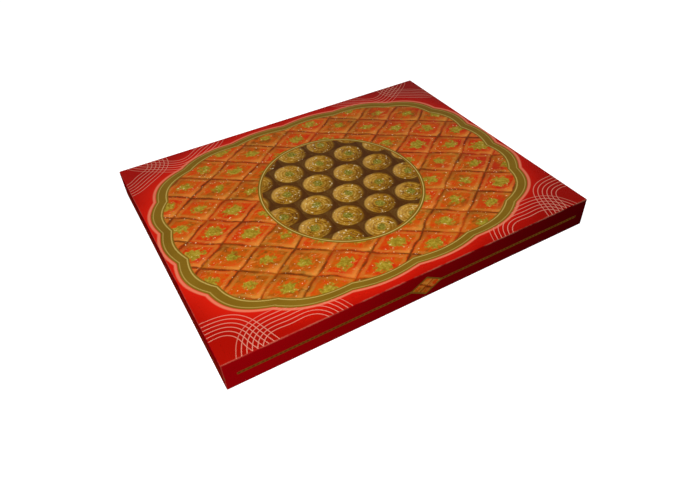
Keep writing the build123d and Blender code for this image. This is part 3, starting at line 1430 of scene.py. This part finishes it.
@dataclass
class RolledPiece:
    """A finger of rolled filo lying along X, wrinkled across its length, with coiled ends."""

    start: float
    length: float
    middle: float
    half: float
    foot: float
    height: float
    seed: int
    around: int = 60
    steps: int = 66
    squareness: float = 2.35
    wrinkle_pitch: float = 3.6
    wrinkle_depth: float = 1.15
    crumple_depth: float = 0.35
    coil_pitch: float = 2.7
    coil_depth: float = 0.9

    def section(self) -> Array:
        """The rounded cross-section: a superellipse whose lower half is a little flatter.

        Returns:
            Its points as offsets in Y and heights in Z.
        """
        turn = np.linspace(0, 2 * np.pi, self.around, endpoint=False)
        power = 2 / self.squareness
        across = np.sign(np.cos(turn)) * np.abs(np.cos(turn)) ** power
        up = np.sign(np.sin(turn)) * np.abs(np.sin(turn)) ** power
        lower = np.where(up < 0, 0.96, 1.0)
        return np.stack([across * self.half, self.height / 2 + up * self.height / 2 * lower], axis=-1)

    def stations(self) -> tuple[Array, Array, float]:
        """The rings along the roll: eight that shrink into each end, three over its rounded rim, and even
        ones between the ends.

        Returns:
            Places along the roll, the size of the section at each as a share, and that of the flat ends.
        """
        shrink = np.linspace(0.12, 1, 9)[:-1]
        rim = np.array([0.0, 0.35, 0.8, 1.4])
        tuck = 1 - 0.9 * np.array([1.0, 0.55, 0.2]) / self.half
        body = np.linspace(rim[-1], self.length - rim[-1], self.steps)
        first_end, last_end = np.zeros(8), np.full(8, self.length)
        place = np.concatenate([first_end, rim[:-1], body, self.length - rim[-2::-1], last_end])
        ends = shrink * tuck[0]
        scale = np.concatenate([ends, tuck, np.ones(self.steps), tuck[::-1], ends[::-1]])
        return place, scale, tuck[0]

    def surface(self) -> Surface:
        """The closed roll. Wrinkles push the section in along X as a sharpened sine whose phase wanders with
        noise. The ends shrink in rings to a point, and a spiral groove runs over them.

        Returns:
            The piece's surface.
        """
        place, scale, flat_end = self.stations()
        core = np.array([0, self.height / 2])
        offset = (self.section() - core)[None] * scale[:, None, None]
        points = np.zeros((len(place), self.around, 3))
        points[..., 0] = self.start + place[:, None]
        points[..., 1] = self.middle + offset[..., 0]
        points[..., 2] = self.foot + core[1] + offset[..., 1]
        reach = np.linalg.norm(offset, axis=-1) + 1e-6
        drift = lattice_noise(points, 9.0, self.seed)
        wave = np.abs(np.sin(np.pi * (points[..., 0] / self.wrinkle_pitch + 0.9 * drift)))
        crumple = lattice_noise(points, 3.2, self.seed + 9)
        on_side = np.clip(scale[:, None] * 8 - 7, 0, 1)
        push = -on_side * (self.wrinkle_depth * wave ** 1.6 + self.crumple_depth * (crumple + 1))
        points[..., 1:] += offset / reach[..., None] * push[..., None]
        turn = np.arctan2(offset[..., 1], offset[..., 0]) / (2 * np.pi)
        spiral = np.abs(((reach / self.coil_pitch + turn) % 1) - 0.5) * 2
        groove = self.coil_depth * (1 - spiral) ** 1.5 + 0.25 * (drift + 1)
        sink = np.where(scale[:, None] < flat_end - 1e-6, groove, 0)
        inward = np.where(np.arange(len(place)) < len(place) / 2, 1, -1)[:, None]
        points[..., 0] += inward * sink
        points[..., 2] = np.maximum(points[..., 2], self.foot)
        return closed_tube(points, points[0].mean(axis=0), points[-1].mean(axis=0))


def nut_crumbs(places: Array, size: float, seed: int) -> Surface:
    """Chopped nuts: one twenty-sided lump for each place, turned, stretched and sized at random.

    Args:
        places: The crumbs' middles in millimetres.
        size: Their usual half width in millimetres.
        seed: Picks their turns and sizes.

    Returns:
        All crumbs as one surface.
    """
    chance = np.random.default_rng(seed)
    golden = (1 + 5 ** 0.5) / 2
    base = np.array([(a, b * golden, 0) for a in (-1, 1) for b in (-1, 1)], float)
    lump = np.concatenate([base, np.roll(base, 1, axis=1), np.roll(base, 2, axis=1)]) / 1.902
    between = np.linalg.norm(lump[:, None] - lump[None], axis=-1)
    close = between < between[between > 0.01].min() * 1.1
    trios = combinations(range(12), 3)
    faces = np.array([trio for trio in trios if all(close[pair] for pair in combinations(trio, 2))])
    normal = np.cross(lump[faces[:, 1]] - lump[faces[:, 0]], lump[faces[:, 2]] - lump[faces[:, 0]])
    inward = np.einsum("ij,ij->i", normal, lump[faces[:, 0]]) < 0
    faces[inward] = faces[inward][:, ::-1]
    count = len(places)
    stretch = size * chance.uniform(0.55, 1.25, (count, 1, 3))
    rough = 1 + chance.uniform(-0.18, 0.18, (count, 12, 1))
    spin, _ = np.linalg.qr(chance.normal(size=(count, 3, 3)))
    spin[np.linalg.det(spin) < 0, :, 0] *= -1
    points = np.einsum("nij,nkj->nki", spin, lump[None] * stretch * rough) + places[:, None]
    every = faces[None] + 12 * np.arange(count)[:, None, None]
    return Surface(points.reshape(-1, 3), np.zeros((0, 4), int), every.reshape(-1, 3))


@dataclass(frozen=True)
class Style:
    """What sets the pieces of one cut apart, and the heap of nuts on each."""

    salt: int
    spread: tuple[float, float]
    crumbs: int
    sink: float
    stray: float = 0.0
    columns: int = 2
    points: int = 112
    edge_round: float = 2.2
    levels: int = 22
    rings: int = 16


STYLES = {
    Cut.SQUARE: Style(salt=17, spread=(4.6, 4.6), crumbs=110, sink=0.2, stray=1.5),
    Cut.ROLL: Style(salt=23, spread=(11.0, 2.0), crumbs=44, sink=1.0),
    Cut.TRIANGLE: Style(
        salt=29, spread=(4.2, 3.6), crumbs=64, sink=0.2, columns=3, points=96, edge_round=2.0, levels=16,
        rings=12,
    ),
}


@dataclass
class PastryRow:
    """One row of like pieces, standing for one CAD node."""

    node: str
    cut: Cut
    slot: str
    seed: int
    low: Array
    high: Array
    gap: float = 0.8
    corner: float = 3.0
    roll_length: float = 65.2
    diagonal_cut: float = 1.2
    crumb: float = 1.2

    def pile(self, centre: Array, number: int) -> Array:
        """Crumbs heaped about a centre: normal spread across, and a low dome in height.

        Args:
            centre: The heap's middle in X and Y.
            number: The piece's number in its row.

        Returns:
            The crumbs' middles.
        """
        style = STYLES[self.cut]
        chance = np.random.default_rng(self.seed * 131 + number)
        flat = chance.normal(size=(style.crumbs, 2)) * np.array(style.spread)
        distance = np.linalg.norm(flat / np.array(style.spread), axis=1)
        up = self.high[2] - style.sink + np.exp(-distance ** 2) * chance.uniform(0.0, 1.0, style.crumbs)
        return np.column_stack([centre + flat, up])

    def outlines(self) -> list[Array]:
        """Corners of the upright-sided pieces, anticlockwise: squares side by side, or squares each split
        along its diagonal.

        Returns:
            The corners of each piece from left to right.
        """
        columns, cut = STYLES[self.cut].columns, self.diagonal_cut
        width = (self.high[0] - self.low[0] - (columns - 1) * self.gap) / columns
        front, back = self.low[1], self.high[1]
        found = []
        for column in range(columns):
            left = self.low[0] + column * (width + self.gap)
            right = left + width
            if self.cut is Cut.SQUARE:
                found.append([(left, front), (right, front), (right, back), (left, back)])
            else:
                found.append([(left, front), (right - cut, front), (left, back - cut)])
                found.append([(right, back), (left + cut, back), (right, front + cut)])
        return [np.array(corners) for corners in found]

    def upright(self) -> tuple[list[Surface], list[Array]]:
        """The square or triangular pieces.

        Returns:
            The pieces, and the middles of their heaps of nuts.
        """
        style = STYLES[self.cut]
        height = self.high[2] - self.low[2]
        pieces, centres = [], []
        for number, corners in enumerate(self.outlines()):
            outline = rounded_outline(corners, self.corner, style.points)
            seed = self.seed * style.salt + number
            size = (self.low[2], height, style.edge_round)
            piece = CutPiece(outline, *size, seed, style.levels, style.rings)
            pieces.append(piece.surface())
            stray = np.random.default_rng(seed).uniform(-style.stray, style.stray, 2)
            centres.append(corners.mean(axis=0) + stray)
        return pieces, centres

    def rolls(self) -> tuple[list[Surface], list[Array]]:
        """Two fingers end to end across a divider.

        Returns:
            The pieces, and the middles of their heaps of nuts.
        """
        middle, half = (self.low[1] + self.high[1]) / 2, (self.high[1] - self.low[1]) / 2
        foot, height = self.low[2], self.high[2] - self.low[2]
        pieces, centres = [], []
        for number, start in enumerate((self.low[0], self.high[0] - self.roll_length)):
            seed = self.seed * STYLES[self.cut].salt + number
            piece = RolledPiece(start, self.roll_length, middle, half, foot, height, seed)
            pieces.append(piece.surface())
            centres.append(np.array([start + self.roll_length / 2, middle]))
        return pieces, centres

    def build(self, finishes: Finishes) -> list[Piece]:
        """Builds the row's pastry and its nuts.

        Args:
            finishes: The object's materials.

        Returns:
            The new pieces.
        """
        surfaces, centres = self.rolls() if self.cut is Cut.ROLL else self.upright()
        crumbs = np.concatenate([self.pile(centre, number) for number, centre in enumerate(centres)])
        materials = {Cut.SQUARE: finishes.square, Cut.ROLL: finishes.roll, Cut.TRIANGLE: finishes.triangle}
        pastry = Surface.joined(surfaces).make(f"{self.node}_pastry", [materials[self.cut]], smooth=60.0)
        chopped = nut_crumbs(crumbs, self.crumb, self.seed)
        nuts = chopped.make(f"{self.node}_nuts", [finishes.nuts], smooth=20.0)
        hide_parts(self.node)
        for piece in (pastry, nuts):
            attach(piece, "base")
        return [pastry, nuts]


@dataclass
class Contents:
    """All the pastry in the tray, row by row."""

    rows: dict[Cut, int] = field(default_factory=lambda: {Cut.SQUARE: 7, Cut.ROLL: 9, Cut.TRIANGLE: 6})

    def build(self, finishes: Finishes) -> list[Piece]:
        """Builds every row.

        Args:
            finishes: The object's materials.

        Returns:
            The new pieces.
        """
        pieces = []
        for kind, count in self.rows.items():
            for number in range(1, count + 1):
                node = f"{kind.value}_row_{number}"
                seed = 100 * (list(Cut).index(kind) + 1) + number
                low, high = (np.array(corner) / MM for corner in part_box(node))
                row = PastryRow(node, kind, f"{kind.value}_pastry", seed, low, high)
                pieces += row.build(finishes)
        return pieces


# Studio


@dataclass
class Studio:
    """The floor, the light and the camera."""

    length: float = 0.4
    focal_pixels: float = 598.06
    turn: float = -0.4919
    rise: float = 0.735
    roll: float = -0.05
    offset: tuple[float, float, float] = (-0.0219, 0.1157, -1.6719)
    sensor: float = 36.0
    picture_width: float = 700.0
    floor_reach: float = 6000.0
    floor_level: float = -0.05
    world_strength: float = 0.16

    def camera(self) -> Piece:
        """A camera at the photograph's angle: its axes from its turn, rise and roll, and its place from the
        offset of the box's middle in its own axes, in box lengths.

        Returns:
            The camera, made the scene's own.
        """
        sine, cosine = math.sin(self.turn), math.cos(self.turn)
        back = np.array([sine * math.cos(self.rise), -cosine * math.cos(self.rise), math.sin(self.rise)])
        right = np.array([cosine, sine, 0.0])
        up = np.cross(back, right)
        tilt, level = math.sin(self.roll), math.cos(self.roll)
        axes = np.stack([level * right + tilt * up, -tilt * right + level * up, back])
        location = -axes.T @ np.array(self.offset) * self.length
        data = bpy.data.cameras.new("view_camera")
        data.sensor_fit = "HORIZONTAL"
        data.sensor_width = self.sensor
        data.lens = self.focal_pixels * self.sensor / self.picture_width
        data.clip_start = 0.01
        camera = bpy.data.objects.new("view_camera", data)
        camera.matrix_world = Matrix([[*axes[:, row], location[row]] for row in range(3)] + [[0, 0, 0, 1]])
        bpy.context.scene.collection.objects.link(camera)
        bpy.context.scene.camera = camera
        return camera

    def seen(self, graph: Graph) -> Value:
        """Which rays see the floor and the world as white.

        Args:
            graph: The nodes of either.

        Returns:
            1 for rays from the camera and those that gloss and glass send on, otherwise 0.
        """
        kinds = ("Camera", "Glossy", "Transmission")
        camera, gloss, glass = [graph.value("ShaderNodeLightPath", {}, f"Is {kind} Ray") for kind in kinds]
        return graph.least(camera + gloss + glass, 1.0)

    def floor(self) -> None:
        """A pale floor that shows white to the camera and in gloss, and still takes the object's shadow. Its
        own glow grows with distance, so that it meets the world without a horizon."""
        material = bpy.data.materials.new("pale_floor")
        material.use_nodes = True
        graph = Graph(material.node_tree)
        x, y, _ = graph.split(graph.coordinates("Object"))
        glow = 0.8 + graph.length(x, y).step(0.5, 2.2) * 0.2
        inputs = {
            "Base Color": (0.5, 0.5, 0.5, 1),
            "Roughness": 0.9,
            "Specular IOR Level": 0.0,
            "Emission Color": (1, 1, 1, 1),
            "Emission Strength": self.seen(graph) * glow,
        }
        shader = material.node_tree.nodes["Principled BSDF"]
        for socket, value in inputs.items():
            graph.feed(shader.inputs[socket], value)
        reach, level = self.floor_reach, self.floor_level
        front = [(-reach, -reach, level), (reach, -reach, level)]
        back = [(reach, reach, level), (-reach, reach, level)]
        plane = Surface(np.array(front + back), np.array([[0, 1, 2, 3]])).make("floor", [material])

    def lamp(self, name: str, place: tuple[float, float, float], size: float, power: float) -> None:
        """A square soft light, turned to the middle of the box.

        Args:
            name: The light's name.
            place: Where it is, in metres.
            size: Its side in metres.
            power: Its power in watts.
        """
        data = bpy.data.lights.new(name, "AREA")
        data.size = size
        data.energy = power
        lamp = bpy.data.objects.new(name, data)
        lamp.location = place
        lamp.rotation_euler = (-Vector(place)).to_track_quat("-Z", "Y").to_euler()
        bpy.context.scene.collection.objects.link(lamp)

    def light(self) -> None:
        """A key light from the front left, a weak fill from high up, and a dim even world."""
        self.lamp("key_light", (-0.27, -0.44, 0.78), 0.3, 10.6)
        self.lamp("fill_light", (-0.6, 0.1, 1.7), 1.2, 5.6)
        world = bpy.data.worlds.new("studio")
        world.use_nodes = True
        graph = Graph(world.node_tree)
        sky = world.node_tree.nodes["Background"]
        sky.inputs["Color"].default_value = (1, 1, 1, 1)
        graph.feed(sky.inputs["Strength"], self.world_strength + self.seen(graph) * (1 - self.world_strength))
        bpy.context.scene.world = world

    def build(self) -> None:
        """Sets up the whole studio."""
        self.camera()
        self.floor()
        self.light()
        bpy.context.scene.view_settings.view_transform = "Standard"


def main() -> None:
    """Builds the object in order and reports each piece."""
    logging.basicConfig(level=logging.INFO, format="%(message)s")
    Studio().build()
    finishes = Finishes.build()
    for part in (Base(), Lid(), Contents()):
        for piece in part.build(finishes):
            LOG.info("%s: %d faces", piece.name, len(piece.data.polygons))


if __name__ == "__main__":
    main()
